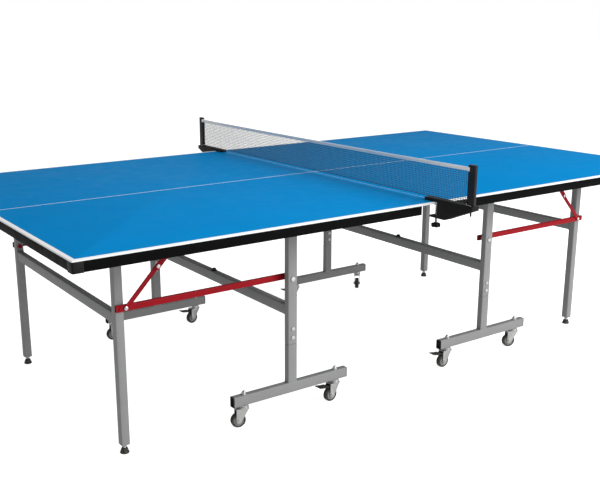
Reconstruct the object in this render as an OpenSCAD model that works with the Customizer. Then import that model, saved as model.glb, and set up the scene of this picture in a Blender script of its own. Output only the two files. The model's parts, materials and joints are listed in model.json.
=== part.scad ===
// Folding, rolling ping pong table with a clamp-on net.
// The origin is on the floor, under the middle of the net. X runs along the table, Y across it, Z up.
// "near" is the half on -X and "far" the half on +X. "front" is the side on -Y, "back" the side on +Y.
// Each half is drawn on +X and its side parts on +Y, then mirrored to where they belong.

/* [Table top] */
// Length of the whole playing surface
table_l = 2740; // [2700:10:2740]
// Width of the playing surface
table_w = 1525; // [1515:5:1525]
// Height of the playing surface above the floor
table_h = 760; // [756:1:764]
// Thickness of the playing board
board_t = 5; // [4:1:6]
// Gap between the two boards, under the net
centre_gap = 4; // [3.6:0.2:6]
// Height of the steel rails under the board
rail_h = 33; // [31:1:35]
// Width of the rails round the edge
rail_w = 20; // [18:1:22]
// Width of the two rails that carry the hinges
cross_w = 30; // [28:1:32]
// Distance from the net at which the rails start, which leaves room for the net clamps
rail_start = 100; // [90:5:110]
// Wall of every steel tube
wall = 1.5; // [1.2:0.1:1.8]

/* [Fold linkage] */
// Distance of the top's main hinge from the net
fold_x = 490; // [480:5:500]
// Distance of the legs from the net
leg_x = 1120; // [1110:5:1130]
// Depth of the hinge axes below the rails
pivot_drop = 22; // [22:0.5:24]
// Depth of the link bars' pivots below the hinge axes
link_drop = 194; // [185:1:200]
// Height of a link bar
link_h = 22; // [20:1:24]
// Thickness of a link bar across the table
link_t = 12; // [10:1:12]
// Distance of the folding stay's upper pivot from the net
stay_x = 885; // [880:1:890]
// Length of the stay's lower link between its pivots
stay_low_l = 166; // [160:1:170]
// Thickness of each stay link
stay_t = 3.5; // [3:0.5:3.5]

/* [Legs] */
// Width of a square leg
leg_sq = 30; // [28:1:30]
// Distance of a leg's middle from the table's centre line
leg_y = 474; // [470:1:474]
// Height of the crossbar's middle above the floor
leg_bar_z = 466; // [440:1:470]
// Height of a levelling foot, up to the leg's lower end
foot_h = 32; // [30:1:34]
// Width of a levelling foot
foot_d = 31; // [28:1:31]

/* [Trolley] */
// Width of an upright along the table
upright_l = 38; // [34:1:38]
// Width of an upright across the table
upright_w = 25; // [24:1:26]
// Height of the sleeve's lower end above the floor
sleeve_z = 267; // [255:1:275]
// Height of the trolley crossbar's middle above the floor
trolley_bar_z = 390; // [380:1:400]
// Height of a crossbar
bar_h = 38; // [34:1:40]
// Length of a base bar
base_l = 490; // [470:5:500]
// Height of a base bar
base_h = 38; // [34:1:40]
// Distance of a caster's stem from the upright
caster_spread = 200; // [190:1:205]

/* [Casters] */
// Diameter of a wheel
wheel_d = 54; // [50:1:54]
// Width of a wheel's tread
wheel_w = 20; // [16:1:20]
// Distance of the axle behind the stem
trail = 22; // [20:1:24]

/* [Net] */
// Height of the net's top edge above the playing surface
net_h = 140; // [138:0.5:146]
// Height of the net's lower edge above the playing surface
net_low = 13; // [12:0.5:16]
// Distance of a post's middle from the table's centre line
post_y = 908; // [900:1:912]
// Thickness of a post along the table
post_t = 13; // [12:1:14]
// Width of a post across the table
post_w = 33; // [30:1:34]
// Thickness of the net
net_t = 1.5; // [1:0.1:1.5]

/* [Hidden] */
$fn = 48;

// Fits
pin_play = 0.05;          // radial clearance of every pin, bolt and axle in its bore
side_play = 1;            // gap between parts that turn past each other

// Heights
board_z = table_h - board_t;
rail_z = board_z - rail_h;
pivot_z = rail_z - pivot_drop;
link_z = pivot_z - link_drop;
base_z = 82;
base_top = base_z + base_h;

// Table top
half_l = table_l / 2;
half_w = table_w / 2;
rail_inset = 3;
end_x = half_l - rail_inset;
side_y = half_w - rail_inset;
cap_t = 2.5;

// Layers across the table, from the leg outwards: leg, link bar, lower stay, upper stay, long rail
leg_in = leg_y - leg_sq / 2;
leg_out = leg_y + leg_sq / 2;
link_in = leg_out + side_play;
link_out = link_in + link_t;
low_in = link_out + side_play;
low_out = low_in + stay_t;
up_in = low_out + side_play;
up_out = up_in + stay_t;
long_in = up_out + 3;
long_out = long_in + rail_w;

// Uprights, which stand outside the link bars, with a spacer between them
sleeve_in = link_out + 16.5;
sleeve_out = sleeve_in + upright_w;
upright_y = (sleeve_in + sleeve_out) / 2;
sleeve_top = pivot_z + 10;
tongue_play = 0.5;
tongue_top = 350;
joint_gap = 2.5;
clamp_bolts = [323, 290];
bracket_in = sleeve_out + side_play;
bracket_t = 4;
bracket_r = 18;
ear_t = 4;
ear_r = 14;

// Pins and bolts
fold_pin_r = 6;
pin_r = 5;
bolt_r = 4;
head_t = 3.4;

// Folding stay: upper pivot on the long rail, lower pivot on the link bar, knee on the line between
stay_z = rail_z + 13;
stay_foot_x = leg_x - 16;
stay_dx = stay_foot_x - stay_x;
stay_dz = stay_z - link_z;
stay_angle = atan2(stay_dz, stay_dx);
stay_up_l = norm([stay_dx, stay_dz]) - stay_low_l;
knee_x = stay_foot_x - stay_low_l * cos(stay_angle);
knee_z = link_z + stay_low_l * sin(stay_angle);
stay_low_w = 15;
stay_up_w = 19;

// Casters
axle_z = wheel_d / 2;
axle_r = 4;
fork_in = wheel_w / 2 + 2.5;
fork_t = 2;
crown_z = 68;
pedal_x = -13;
pedal_z = 61.5;
pedal_pin_r = 2;

// Net set, which stands over the near board's edge
post_in = post_y - post_w / 2;
post_out = post_y + post_w / 2;
net_x = -16;
jaw_t = 10;
clamp_z = board_z - 52;
screw_x = -17;
screw_y = half_w - 15;

steel = "#a0a2a4";
black = "#1c1b1b";
blue = "#0383c5";
red = "#a01c28";
zinc = "#b9bbbd";
rubber = "#222222";

// ---------- helpers ----------

// A box from its lowest to its highest corner
module block(low, high) translate(low) cube(high - low);

// A round bar along Y, from y0 to y1
module rod_y(x, z, r, y0, y1) translate([x, y0, z]) rotate([-90, 0, 0]) cylinder(r = r, h = y1 - y0);

// A hexagon along Y, from y0 to y1
module hex_y(x, z, r, y0, y1) translate([x, y0, z]) rotate([-90, 0, 0])
    cylinder(r = r, h = y1 - y0, $fn = 6);

// A round bar along Z, from z0 to z1
module rod_z(x, y, r, z0, z1) translate([x, y, z0]) cylinder(r = r, h = z1 - z0);

// What is drawn on +X goes to the half asked for
module on_half(half) mirror([half == "near" ? 1 : 0, 0, 0]) children();

// What is drawn on +Y goes to the side asked for
module on_side(side) mirror([0, side == "front" ? 1 : 0, 0]) children();

// What is drawn on +Y is drawn on both sides
module both_sides() for (side = ["front", "back"]) on_side(side) children();

// A flat link with round ends, from (x0, z0) towards (x1, z1), with a tail past its second hole
module flat_link(x0, z0, x1, z1, w, tail, y0, y1) {
    length = norm([x1 - x0, z1 - z0]) + tail;
    translate([x0, 0, z0]) rotate([0, -atan2(z1 - z0, x1 - x0), 0]) {
        block([0, y0, -w / 2], [length, y1, w / 2]);
        rod_y(0, 0, w / 2, y0, y1);
        rod_y(length, 0, w / 2, y0, y1);
    }
}

// ---------- table top ----------

module board(half) color(blue) on_half(half)
    block([centre_gap / 2, -half_w, board_z], [half_l, half_w, table_h]);

module top_frame(half) color(black) on_half(half) difference() {
    union() {
        both_sides() block([rail_start, side_y - rail_w, rail_z], [end_x, side_y, board_z]);
        for (x = [rail_start, end_x - rail_w])
            block([x, wall - side_y, rail_z], [x + rail_w, side_y - wall, board_z]);
        for (x = [fold_x, leg_x])
            block([x - cross_w / 2, rail_w - wall - side_y, rail_z],
                  [x + cross_w / 2, side_y - rail_w + wall, board_z]);
        both_sides() block([fold_x + cross_w / 2 - wall, long_in, rail_z],
                           [leg_x - cross_w / 2 + wall, long_out, board_z]);
    }
    rail_hollows();
}

// Plates welded under the cross rails, one outside each upright and two round each leg,
// and the stud on each long rail that carries the stay's upper link
module hinge_plates(half) color(black) on_half(half) both_sides() {
    hinge_plate(fold_x, bracket_r, bracket_in, bracket_t, fold_pin_r);
    for (y = [leg_in - side_play - ear_t, link_in]) hinge_plate(leg_x, ear_r, y, ear_t, pin_r);
    rod_y(stay_x, stay_z, pin_r, low_out - 2.5, long_in);
    rod_y(stay_x, stay_z, 8, up_out + 0.5, long_in);
    rod_y(stay_x, stay_z, 8.5, low_out - 2.5, up_in - 0.5);
}

// A plate with a round lower end, bored for a pin
module hinge_plate(x, r, y, t, bore_r) difference() {
    union() {
        block([x - r, y, pivot_z], [x + r, y + t, rail_z]);
        rod_y(x, pivot_z, r, y, y + t);
    }
    rod_y(x, pivot_z, bore_r + pin_play, y - 1, y + t + 1);
}

// The rails' insides run into each other and come out at the rails' ends by the net
module rail_hollows() {
    reach = side_y - rail_w + 2 * wall;
    both_sides() block([rail_start - 1, side_y - rail_w + wall, rail_z + wall],
                       [end_x - wall, side_y - wall, board_z - wall]);
    for (x = [rail_start, end_x - rail_w])
        block([x + wall, -reach, rail_z + wall], [x + rail_w - wall, reach, board_z - wall]);
    for (x = [fold_x, leg_x])
        block([x - cross_w / 2 + wall, -reach, rail_z + wall],
              [x + cross_w / 2 - wall, reach, board_z - wall]);
    both_sides() block([fold_x + cross_w / 2 - 2 * wall, long_in + wall, rail_z + wall],
                       [leg_x - cross_w / 2 + 2 * wall, long_out - wall, board_z - wall]);
}

// Black guards on the two outer corners, and plugs in the side rails' open ends
module frame_caps(half) color(black) on_half(half) both_sides() {
    guard = 32;
    difference() {
        block([end_x - guard, side_y - guard, rail_z], [end_x + cap_t, side_y + cap_t, board_z]);
        block([end_x - guard - 1, side_y - guard - 1, rail_z - 1], [end_x, side_y, board_z + 1]);
    }
    block([rail_start - cap_t, side_y - rail_w, rail_z], [rail_start, side_y, board_z]);
    block([rail_start - 1, side_y - rail_w + wall + 0.1, rail_z + wall + 0.1],
          [rail_start + 14, side_y - wall - 0.1, board_z - wall - 0.1]);
}

// ---------- legs ----------

module leg_frame(half) color(steel) on_half(half) difference() {
    leg_w = leg_sq / 2;
    plate_t = 6;
    bar_w = 12.5;
    union() {
        both_sides() block([leg_x - leg_w, leg_in, foot_h], [leg_x + leg_w, leg_out, pivot_z + 12]);
        block([leg_x - bar_w, -leg_in - 1, leg_bar_z - bar_h / 2],
              [leg_x + bar_w, leg_in + 1, leg_bar_z + bar_h / 2]);
    }
    both_sides() block([leg_x - leg_w + wall, leg_in + wall, foot_h + plate_t],
                       [leg_x + leg_w - wall, leg_out - wall, pivot_z + 13]);
    block([leg_x - bar_w + wall, -leg_in - 2 * wall, leg_bar_z - bar_h / 2 + wall],
          [leg_x + bar_w - wall, leg_in + 2 * wall, leg_bar_z + bar_h / 2 - wall]);
    both_sides() {
        rod_z(leg_x, leg_y, pin_r + pin_play, foot_h - 1, foot_h + plate_t + 1);
        for (z = [pivot_z, link_z]) rod_y(leg_x, z, pin_r + pin_play, leg_in - 1, leg_out + 1);
    }
}

// Hinge pins at the tops of the legs, and the pins that carry the link bars
module leg_bolts(half) color(zinc) on_half(half) both_sides() {
    ear_in = leg_in - side_play - ear_t;
    ear_out = link_in + ear_t;
    rod_y(leg_x, pivot_z, pin_r, ear_in - 4, ear_out + 3);
    hex_y(leg_x, pivot_z, 9, ear_in - 0.4 - head_t, ear_in - 0.4);
    rod_y(leg_x, pivot_z, 8.5, ear_out + 0.4, ear_out + 0.4 + head_t);
    rod_y(leg_x, link_z, pin_r, leg_in - 6, link_out + 2);
    hex_y(leg_x, link_z, 9, leg_in - 0.2 - head_t, leg_in - 0.2);
    rod_y(leg_x, link_z, 7, link_out + 0.3, link_out + 2.6);
}

module foot(half, side) color(black) on_half(half) on_side(side) translate([leg_x, leg_y, 0]) {
    rotate_extrude() polygon([[0, 0], [foot_d / 2, 0], [foot_d / 2, 4], [foot_d / 2 - 3, 11],
                              [8, 15], [8, 19], [0, 19]]);
    cylinder(r = pin_r, h = foot_h + 42);
    translate([0, 0, foot_h - 7]) cylinder(r = 9, h = 6, $fn = 6);
}

// ---------- fold linkage ----------

module link_bars(half) color(red) on_half(half) both_sides() {
    difference() {
        block([fold_x - 14, link_in, link_z - link_h / 2], [leg_x + 16, link_out, link_z + link_h / 2]);
        block([fold_x - 15, link_in + wall, link_z - link_h / 2 + wall],
              [leg_x + 17, link_out - wall, link_z + link_h / 2 - wall]);
        for (x = [fold_x, leg_x]) rod_y(x, link_z, pin_r + pin_play, link_in - 1, link_out + 1);
    }
    rod_y(stay_foot_x, link_z, bolt_r, link_in + 0.3, low_out + 3);
    rod_y(stay_foot_x, link_z, 7, low_out + 0.4, low_out + 3);
}

module upper_stays(half) color(red) on_half(half) both_sides() {
    difference() {
        flat_link(stay_x, stay_z, knee_x, knee_z, stay_up_w, 6, up_in, up_out);
        rod_y(stay_x, stay_z, pin_r + pin_play, up_in - 1, up_out + 1);
    }
    rod_y(knee_x, knee_z, 7, up_out - 1, up_out + 2);
}

module lower_stays(half) color(red) on_half(half) both_sides() difference() {
    flat_link(stay_foot_x, link_z, knee_x, knee_z, stay_low_w, 10, low_in, low_out);
    rod_y(stay_foot_x, link_z, bolt_r + pin_play, low_in - 1, low_out + 1);
    rod_y(knee_x, knee_z, bolt_r + pin_play, low_in - 1, low_out + 1);
}

// ---------- trolley ----------

module trolley_frame(half) color(steel) on_half(half) difference() {
    flank = upright_l / 2;
    bar_w = 15;
    union() {
        both_sides() block([fold_x - flank, sleeve_in, sleeve_z],
                           [fold_x + flank, sleeve_out, sleeve_top]);
        block([fold_x - bar_w, -sleeve_in - 1, trolley_bar_z - bar_h / 2],
              [fold_x + bar_w, sleeve_in + 1, trolley_bar_z + bar_h / 2]);
    }
    both_sides() block([fold_x - flank + wall, sleeve_in + wall, sleeve_z - 1],
                       [fold_x + flank - wall, sleeve_out - wall, sleeve_top - 2]);
    block([fold_x - bar_w + wall, -sleeve_in - 2 * wall, trolley_bar_z - bar_h / 2 + wall],
          [fold_x + bar_w - wall, sleeve_in + 2 * wall, trolley_bar_z + bar_h / 2 - wall]);
    both_sides() {
        rod_y(fold_x, pivot_z, fold_pin_r + pin_play, sleeve_in - 1, sleeve_out + 1);
        rod_y(fold_x, link_z, pin_r + pin_play, sleeve_in - 1, sleeve_out + 1);
        for (z = clamp_bolts) rod_y(fold_x, z, bolt_r + pin_play, sleeve_in - 1, sleeve_out + 1);
    }
}

// Lower part of each upright, with a tongue up inside the sleeve, welded to its base bar
module base_tees(half) color(steel) on_half(half) both_sides() difference() {
    flank = upright_l / 2;
    tongue = flank - wall - tongue_play;
    tongue_in = sleeve_in + wall + tongue_play;
    tongue_out = sleeve_out - wall - tongue_play;
    union() {
        block([fold_x - flank, sleeve_in, base_top - 1],
              [fold_x + flank, sleeve_out, sleeve_z - joint_gap]);
        block([fold_x - tongue, tongue_in, base_top], [fold_x + tongue, tongue_out, tongue_top]);
        block([fold_x - base_l / 2, sleeve_in, base_z], [fold_x + base_l / 2, sleeve_out, base_top]);
    }
    block([fold_x - tongue + wall, tongue_in + wall, base_top - 2 * wall],
          [fold_x + tongue - wall, tongue_out - wall, tongue_top + 1]);
    block([fold_x - base_l / 2 - 1, sleeve_in + wall, base_z + wall],
          [fold_x + base_l / 2 + 1, sleeve_out - wall, base_top - wall]);
    for (z = clamp_bolts) rod_y(fold_x, z, bolt_r + pin_play, sleeve_in - 1, sleeve_out + 1);
    for (d = [-1, 1])
        rod_z(fold_x + d * caster_spread, upright_y, pin_r + pin_play, base_z - 1, base_top + 1);
}

module base_caps(half) color(black) on_half(half) both_sides()
    translate([fold_x, upright_y, base_z]) for (turn = [0, 180]) rotate([0, 0, turn]) {
        cap_w = upright_w / 2;
        inset = wall + 0.2;
        block([base_l / 2, -cap_w, 0], [base_l / 2 + 3, cap_w, base_h]);
        block([base_l / 2 - 12, inset - cap_w, inset], [base_l / 2 + 1, cap_w - inset, base_h - inset]);
    }

// Main hinge pins, link bar bolts with their spacers, the bolts that hold the two parts of each
// upright, and the caster stems
module trolley_bolts(half) color(zinc) on_half(half) both_sides() {
    rod_y(fold_x, pivot_z, fold_pin_r, sleeve_in + 0.3, bracket_in + bracket_t + 3);
    rod_y(fold_x, pivot_z, 11, bracket_in + bracket_t + 0.4, bracket_in + bracket_t + 5);
    rod_y(fold_x, link_z, pin_r, link_in - 5, sleeve_out + 2);
    rod_y(fold_x, link_z, 8, link_out + 0.5, sleeve_in - 0.2);
    hex_y(fold_x, link_z, 9, link_in - 0.5 - 4.5, link_in - 0.5);
    rod_y(fold_x, link_z, 8.5, sleeve_out + 0.2, sleeve_out + 0.2 + head_t);
    for (z = clamp_bolts) {
        rod_y(fold_x, z, bolt_r, sleeve_in - 5, sleeve_out + 2);
        hex_y(fold_x, z, 7.5, sleeve_in - 0.2 - 4, sleeve_in - 0.2);
        rod_y(fold_x, z, 7, sleeve_out + 0.2, sleeve_out + 0.2 + head_t);
    }
    for (d = [-1, 1]) translate([fold_x + d * caster_spread, upright_y, 0]) caster_stem();
}

// A bolt that a caster swivels on, with a dome nut above the base bar
module caster_stem() {
    rod_z(0, 0, pin_r, crown_z - 5, base_top + 8);
    rod_z(0, 0, 8, crown_z - 5, crown_z - 0.4);
    rod_z(0, 0, 11, base_top + 0.1, base_top + 2);
    translate([0, 0, base_top + 0.2]) cylinder(r = 9, h = 7, $fn = 6);
    translate([0, 0, base_top + 7]) difference() {
        sphere(r = 7);
        translate([-8, -8, -10]) cube([16, 16, 10]);
    }
}

module fold_buffer(half) color(rubber) on_half(half)
    translate([fold_x, 0, trolley_bar_z + bar_h / 2]) rotate_extrude()
        polygon([[0, 0], [11, 0], [11, 3], [8, 5], [8, 9], [6, 11], [0, 11]]);

// ---------- casters ----------

// Puts what is drawn round a stem, with the wheel behind it on -X, at a caster's place and turn
module at_caster(half, side, reach, turn)
    translate([(half == "near" ? -1 : 1) * (fold_x + reach * caster_spread),
               (side == "front" ? -1 : 1) * upright_y, 0])
        rotate([0, 0, turn]) children();

module fork(braked) color(zinc) difference() {
    union() {
        rod_z(0, 0, 17, crown_z + 3, crown_z + 8);
        rod_z(0, 0, 14, crown_z + 8, base_z - 0.4);
        block([-31, -fork_in - fork_t, crown_z], [15, fork_in + fork_t, crown_z + 3.5]);
        for (turn = [0, 1]) mirror([0, turn, 0]) translate([0, fork_in + fork_t, 0]) rotate([90, 0, 0])
            linear_extrude(fork_t) {
                polygon([[14, crown_z + 3], [-31, crown_z + 3],
                         [-trail - 10, axle_z], [-trail + 9.5, axle_z - 3]]);
                translate([-trail, axle_z]) circle(r = 10);
            }
        rod_y(-trail, axle_z, axle_r, -fork_in - fork_t - 1, fork_in + fork_t + 1);
        for (turn = [0, 1]) mirror([0, turn, 0])
            hex_y(-trail, axle_z, 7.5, fork_in + fork_t - 0.5, fork_in + fork_t + 3);
        if (braked) rod_y(pedal_x, pedal_z, pedal_pin_r, -fork_in - fork_t - 1, fork_in + fork_t + 1);
    }
    rod_z(0, 0, pin_r + pin_play, crown_z - 1, base_z + 1);
}

// Tyre with rounded shoulders on a hub that runs on the axle
module wheel() color(rubber) translate([-trail, 0, axle_z]) rotate([90, 0, 0]) difference() {
    round = 4;
    union() {
        rotate_extrude() {
            translate([0, -wheel_w / 2 + round]) square([axle_z, wheel_w - 2 * round]);
            translate([0, -wheel_w / 2]) square([axle_z - round, wheel_w]);
            for (v = [-1, 1]) translate([axle_z - round, v * (wheel_w / 2 - round)]) circle(r = round);
        }
        cylinder(r = 9, h = wheel_w + 3, center = true);
    }
    cylinder(r = axle_r + pin_play, h = wheel_w + 6, center = true);
    for (v = [-1, 1]) translate([0, 0, v * wheel_w / 2]) difference() {
        cylinder(r = 16, h = 4, center = true);
        cylinder(r = 9, h = 5, center = true);
    }
}

module pedal() color(rubber) translate([0, 0, pedal_z]) {
    arm_y = wheel_w / 2;
    difference() {
        union() {
            rod_y(pedal_x, 0, 4, -arm_y, arm_y);
            translate([0, arm_y, 0]) rotate([90, 0, 0]) linear_extrude(2 * arm_y)
                polygon([[pedal_x, -3], [-34, -3], [-60, 0], [-60, 4.5], [-34, 3], [pedal_x, 4]]);
        }
        rod_y(pedal_x, 0, pedal_pin_r + pin_play, -arm_y - 1, arm_y + 1);
    }
    translate([0, arm_y + 4, 0]) rotate([90, 0, 0]) linear_extrude(2 * arm_y + 8)
        polygon([[-42, -0.5], [-60, 1], [-82, 5], [-86, 8], [-82, 9.5], [-60, 5.5], [-42, 4]]);
}

// ---------- net ----------

module net() color(black) {
    net_w = post_in - 1;
    block([net_x - net_t / 2, -net_w, table_h + net_low], [net_x + net_t / 2, net_w, table_h + net_h]);
}

// Clamp that grips the near board's edge, with the arm and socket of the post
module net_bracket(side) color(black) on_side(side) difference() {
    arm_in = half_w + 1;
    arm_out = post_out + 1.5;
    union() {
        translate([-31, 0, 0]) rotate([90, 0, 90]) linear_extrude(34)
            polygon([[arm_in, clamp_z], [arm_in, table_h + jaw_t], [arm_out, table_h + jaw_t],
                     [arm_out, table_h - 5], [half_w + 38, clamp_z]]);
        translate([0, 0, table_h]) linear_extrude(jaw_t)
            polygon([[-31, half_w + 12], [-4, half_w + 12], [-4, half_w - 62],
                     [-7, half_w - 66], [-27, half_w - 66], [-31, half_w - 58]]);
        block([-30, half_w - 34, clamp_z], [-4, half_w + 10, clamp_z + 8]);
    }
    block([net_x - post_t / 2 - 0.1, post_in - 0.1, clamp_z],
          [net_x + post_t / 2 + 0.1, post_out + 0.1, table_h + jaw_t + 1]);
    rod_z(screw_x, screw_y, bolt_r + pin_play, clamp_z - 1, clamp_z + 9);
}

module net_post(side) color(black) on_side(side) {
    block([net_x - post_t / 2, post_in, table_h - 5],
          [net_x + post_t / 2, post_out, table_h + net_h + 9]);
    rod_z(net_x, post_y, 3, table_h - 27, table_h - 4);
}

module clamp_screw(side) color(zinc) on_side(side) translate([screw_x, screw_y, 0]) {
    rod_z(0, 0, bolt_r, clamp_z - 23, board_z - 6);
    rod_z(0, 0, 10, board_z - 7, board_z - 0.4);
    rod_z(0, 0, 12, clamp_z - 35, clamp_z - 19);
    for (turn = [0:60:300]) rotate([0, 0, turn]) rod_z(12, 0, 4.5, clamp_z - 35, clamp_z - 21);
}

// ---------- assembly ----------

board("near");  // near_board
top_frame("near");  // near_top_frame
hinge_plates("near");  // near_hinge_plates
frame_caps("near");  // near_frame_caps
leg_frame("near");  // near_leg_frame
leg_bolts("near");  // near_leg_bolts
foot("near", "front");  // near_front_foot
foot("near", "back");  // near_back_foot
trolley_frame("near");  // near_trolley_frame
base_tees("near");  // near_base_tees
base_caps("near");  // near_base_caps
trolley_bolts("near");  // near_trolley_bolts
fold_buffer("near");  // near_fold_buffer
link_bars("near");  // near_link_bars
upper_stays("near");  // near_upper_stays
lower_stays("near");  // near_lower_stays
at_caster("near", "front", -1, 4) fork(true);  // near_front_inner_fork
at_caster("near", "front", 1, -14) fork(false);  // near_front_outer_fork
at_caster("near", "back", -1, 8) fork(true);  // near_back_inner_fork
at_caster("near", "back", 1, -6) fork(false);  // near_back_outer_fork
at_caster("near", "front", -1, 4) wheel();  // near_front_inner_wheel
at_caster("near", "front", 1, -14) wheel();  // near_front_outer_wheel
at_caster("near", "back", -1, 8) wheel();  // near_back_inner_wheel
at_caster("near", "back", 1, -6) wheel();  // near_back_outer_wheel
at_caster("near", "front", -1, 4) pedal();  // near_front_pedal
at_caster("near", "back", -1, 8) pedal();  // near_back_pedal
board("far");  // far_board
top_frame("far");  // far_top_frame
hinge_plates("far");  // far_hinge_plates
frame_caps("far");  // far_frame_caps
leg_frame("far");  // far_leg_frame
leg_bolts("far");  // far_leg_bolts
foot("far", "front");  // far_front_foot
foot("far", "back");  // far_back_foot
trolley_frame("far");  // far_trolley_frame
base_tees("far");  // far_base_tees
base_caps("far");  // far_base_caps
trolley_bolts("far");  // far_trolley_bolts
fold_buffer("far");  // far_fold_buffer
link_bars("far");  // far_link_bars
upper_stays("far");  // far_upper_stays
lower_stays("far");  // far_lower_stays
at_caster("far", "front", -1, 0) fork(true);  // far_front_inner_fork
at_caster("far", "front", 1, -22) fork(false);  // far_front_outer_fork
at_caster("far", "back", -1, 0) fork(true);  // far_back_inner_fork
at_caster("far", "back", 1, 50) fork(false);  // far_back_outer_fork
at_caster("far", "front", -1, 0) wheel();  // far_front_inner_wheel
at_caster("far", "front", 1, -22) wheel();  // far_front_outer_wheel
at_caster("far", "back", -1, 0) wheel();  // far_back_inner_wheel
at_caster("far", "back", 1, 50) wheel();  // far_back_outer_wheel
at_caster("far", "front", -1, 0) pedal();  // far_front_pedal
at_caster("far", "back", -1, 0) pedal();  // far_back_pedal
net();
net_bracket("front");  // front_net_bracket
net_bracket("back");  // back_net_bracket
net_post("front");  // front_net_post
net_post("back");  // back_net_post
clamp_screw("front");  // front_clamp_screw
clamp_screw("back");  // back_clamp_screw
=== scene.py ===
import json
import math
import bmesh
import bpy
from mathutils import Matrix, Vector


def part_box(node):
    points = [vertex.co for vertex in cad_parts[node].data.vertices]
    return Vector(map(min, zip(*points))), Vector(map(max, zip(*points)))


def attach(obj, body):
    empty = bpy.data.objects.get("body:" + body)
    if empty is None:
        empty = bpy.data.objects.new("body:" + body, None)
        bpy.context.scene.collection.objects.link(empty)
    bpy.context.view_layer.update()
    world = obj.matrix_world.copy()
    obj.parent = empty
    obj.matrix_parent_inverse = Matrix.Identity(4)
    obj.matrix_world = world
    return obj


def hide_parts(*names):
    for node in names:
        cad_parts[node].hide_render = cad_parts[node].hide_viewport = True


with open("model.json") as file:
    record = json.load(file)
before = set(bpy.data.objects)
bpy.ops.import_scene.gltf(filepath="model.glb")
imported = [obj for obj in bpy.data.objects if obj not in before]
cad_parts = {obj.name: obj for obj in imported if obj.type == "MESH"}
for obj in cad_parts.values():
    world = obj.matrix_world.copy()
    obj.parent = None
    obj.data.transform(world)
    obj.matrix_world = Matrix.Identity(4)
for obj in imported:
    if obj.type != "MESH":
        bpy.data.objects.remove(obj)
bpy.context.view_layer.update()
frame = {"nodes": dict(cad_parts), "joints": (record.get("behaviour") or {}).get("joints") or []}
bpy.ops.object.select_all(action="DESELECT")

X, Y, Z = 0, 1, 2
HALVES = ("near", "far")
SIDES = ("front", "back")
REACHES = ("inner", "outer")

# ---------- sizes in metres, taken from the frame where it holds them ----------

JOINTS = {joint["name"]: joint for joint in frame["joints"]}


def joint_place(name):
    """Where a joint's axis is."""
    return Vector(JOINTS[name]["pos_m"])


board_low, board_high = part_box("far_board")
half_l = board_high.x
half_w = board_high.y
board_z = board_low.z
table_h = board_high.z
frame_low, frame_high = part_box("far_top_frame")
rail_start = frame_low.x
end_x = frame_high.x
side_y = frame_high.y
fold_x, _, pivot_z = joint_place("far_fold")
leg_x = joint_place("far_leg_swing").x
link_z = joint_place("far_link_swing").z
stay_x, _, stay_z = joint_place("far_upper_stay_swing")
stay_foot_x = joint_place("far_lower_stay_swing").x
leg_low, leg_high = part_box("far_leg_frame")
sleeve_low, sleeve_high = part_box("far_trolley_frame")
base_low, base_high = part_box("far_base_tees")
net_low, net_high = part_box("net")
post_low, post_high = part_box("back_net_post")

# Steel parts: the tubes' wall and sections, the long rails' two sides, the gap under a sleeve,
# a link bar's thickness, and a stay's lower length between its pivots
WALL = 0.0015
RAIL_H = 0.033
RAIL_W = 0.020
CROSS_W = 0.030
LONG_IN = 0.514
LONG_OUT = 0.534
LEG_SQ = 0.030
UPRIGHT_L = 0.038
UPRIGHT_W = 0.025
TONGUE_L = 0.034
TONGUE_W = 0.021
JOINT_GAP = 0.0025
BASE_H = 0.038
LINK_T = 0.012
STAY_LOW_L = 0.166

# Lowest and highest Z of the crossbars
LEG_BAR = (0.447, 0.485)
TROLLEY_BAR = (0.371, 0.409)

# Net set: the pin under a post, the tape's height, the mesh, and how far its top hangs
PIN_H = 0.022
TAPE_H = 0.013
NET_CELL = 0.0075
YARN = 0.0019
NET_SAG = 0.003

rail_z = board_z - RAIL_H
leg_in = leg_high.y - LEG_SQ
sleeve_in = sleeve_high.y - UPRIGHT_W
upright_y = (sleeve_in + sleeve_high.y) / 2
base_top = base_low.z + BASE_H
bracket_in = sleeve_high.y + 0.001

# ---------- camera ----------

CAMERA_PLACE = Vector((-2.1878, -2.9343, 1.3820))
CAMERA_TURN = math.radians(33.730)
CAMERA_DROP = math.radians(14.725)
CAMERA_ROLL = math.radians(-0.344)
CAMERA_LENS = 52.77
CAMERA_SHIFT = (0.0526, 0.0073)


def set_camera():
    """A camera at eye height off the near front corner, looking towards the net."""
    data = bpy.data.cameras.new("camera")
    data.sensor_width = 36
    data.lens = CAMERA_LENS
    data.shift_x, data.shift_y = CAMERA_SHIFT
    camera = bpy.data.objects.new("camera", data)
    bpy.context.scene.collection.objects.link(camera)
    turn = Matrix.Rotation(-CAMERA_TURN, 4, "Z") @ Matrix.Rotation(math.pi / 2 - CAMERA_DROP, 4, "X")
    camera.matrix_world = Matrix.Translation(CAMERA_PLACE) @ turn @ Matrix.Rotation(CAMERA_ROLL, 4, "Z")
    bpy.context.scene.camera = camera


# ---------- modelling by hand ----------


def only(piece):
    """Selects one piece and makes it the active one."""
    bpy.ops.object.select_all(action="DESELECT")
    piece.select_set(True)
    bpy.context.view_layer.objects.active = piece


def settle(piece, name):
    """Names a new primitive and puts its place into its mesh."""
    piece.name = name
    piece.data.name = name
    bpy.ops.object.transform_apply(location=True, rotation=True, scale=True)
    return piece


def block(name, low, high):
    """A box from its lowest to its highest corner."""
    low, high = Vector(low), Vector(high)
    bpy.ops.object.select_all(action="DESELECT")
    bpy.ops.mesh.primitive_cube_add(size=1, location=(low + high) / 2)
    bpy.context.object.scale = high - low
    return settle(bpy.context.object, name)


def edit(piece):
    """Opens a piece in edit mode."""
    only(piece)
    bpy.ops.object.mode_set(mode="EDIT")


def done():
    """Leaves edit mode."""
    bpy.ops.object.mode_set(mode="OBJECT")


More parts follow.
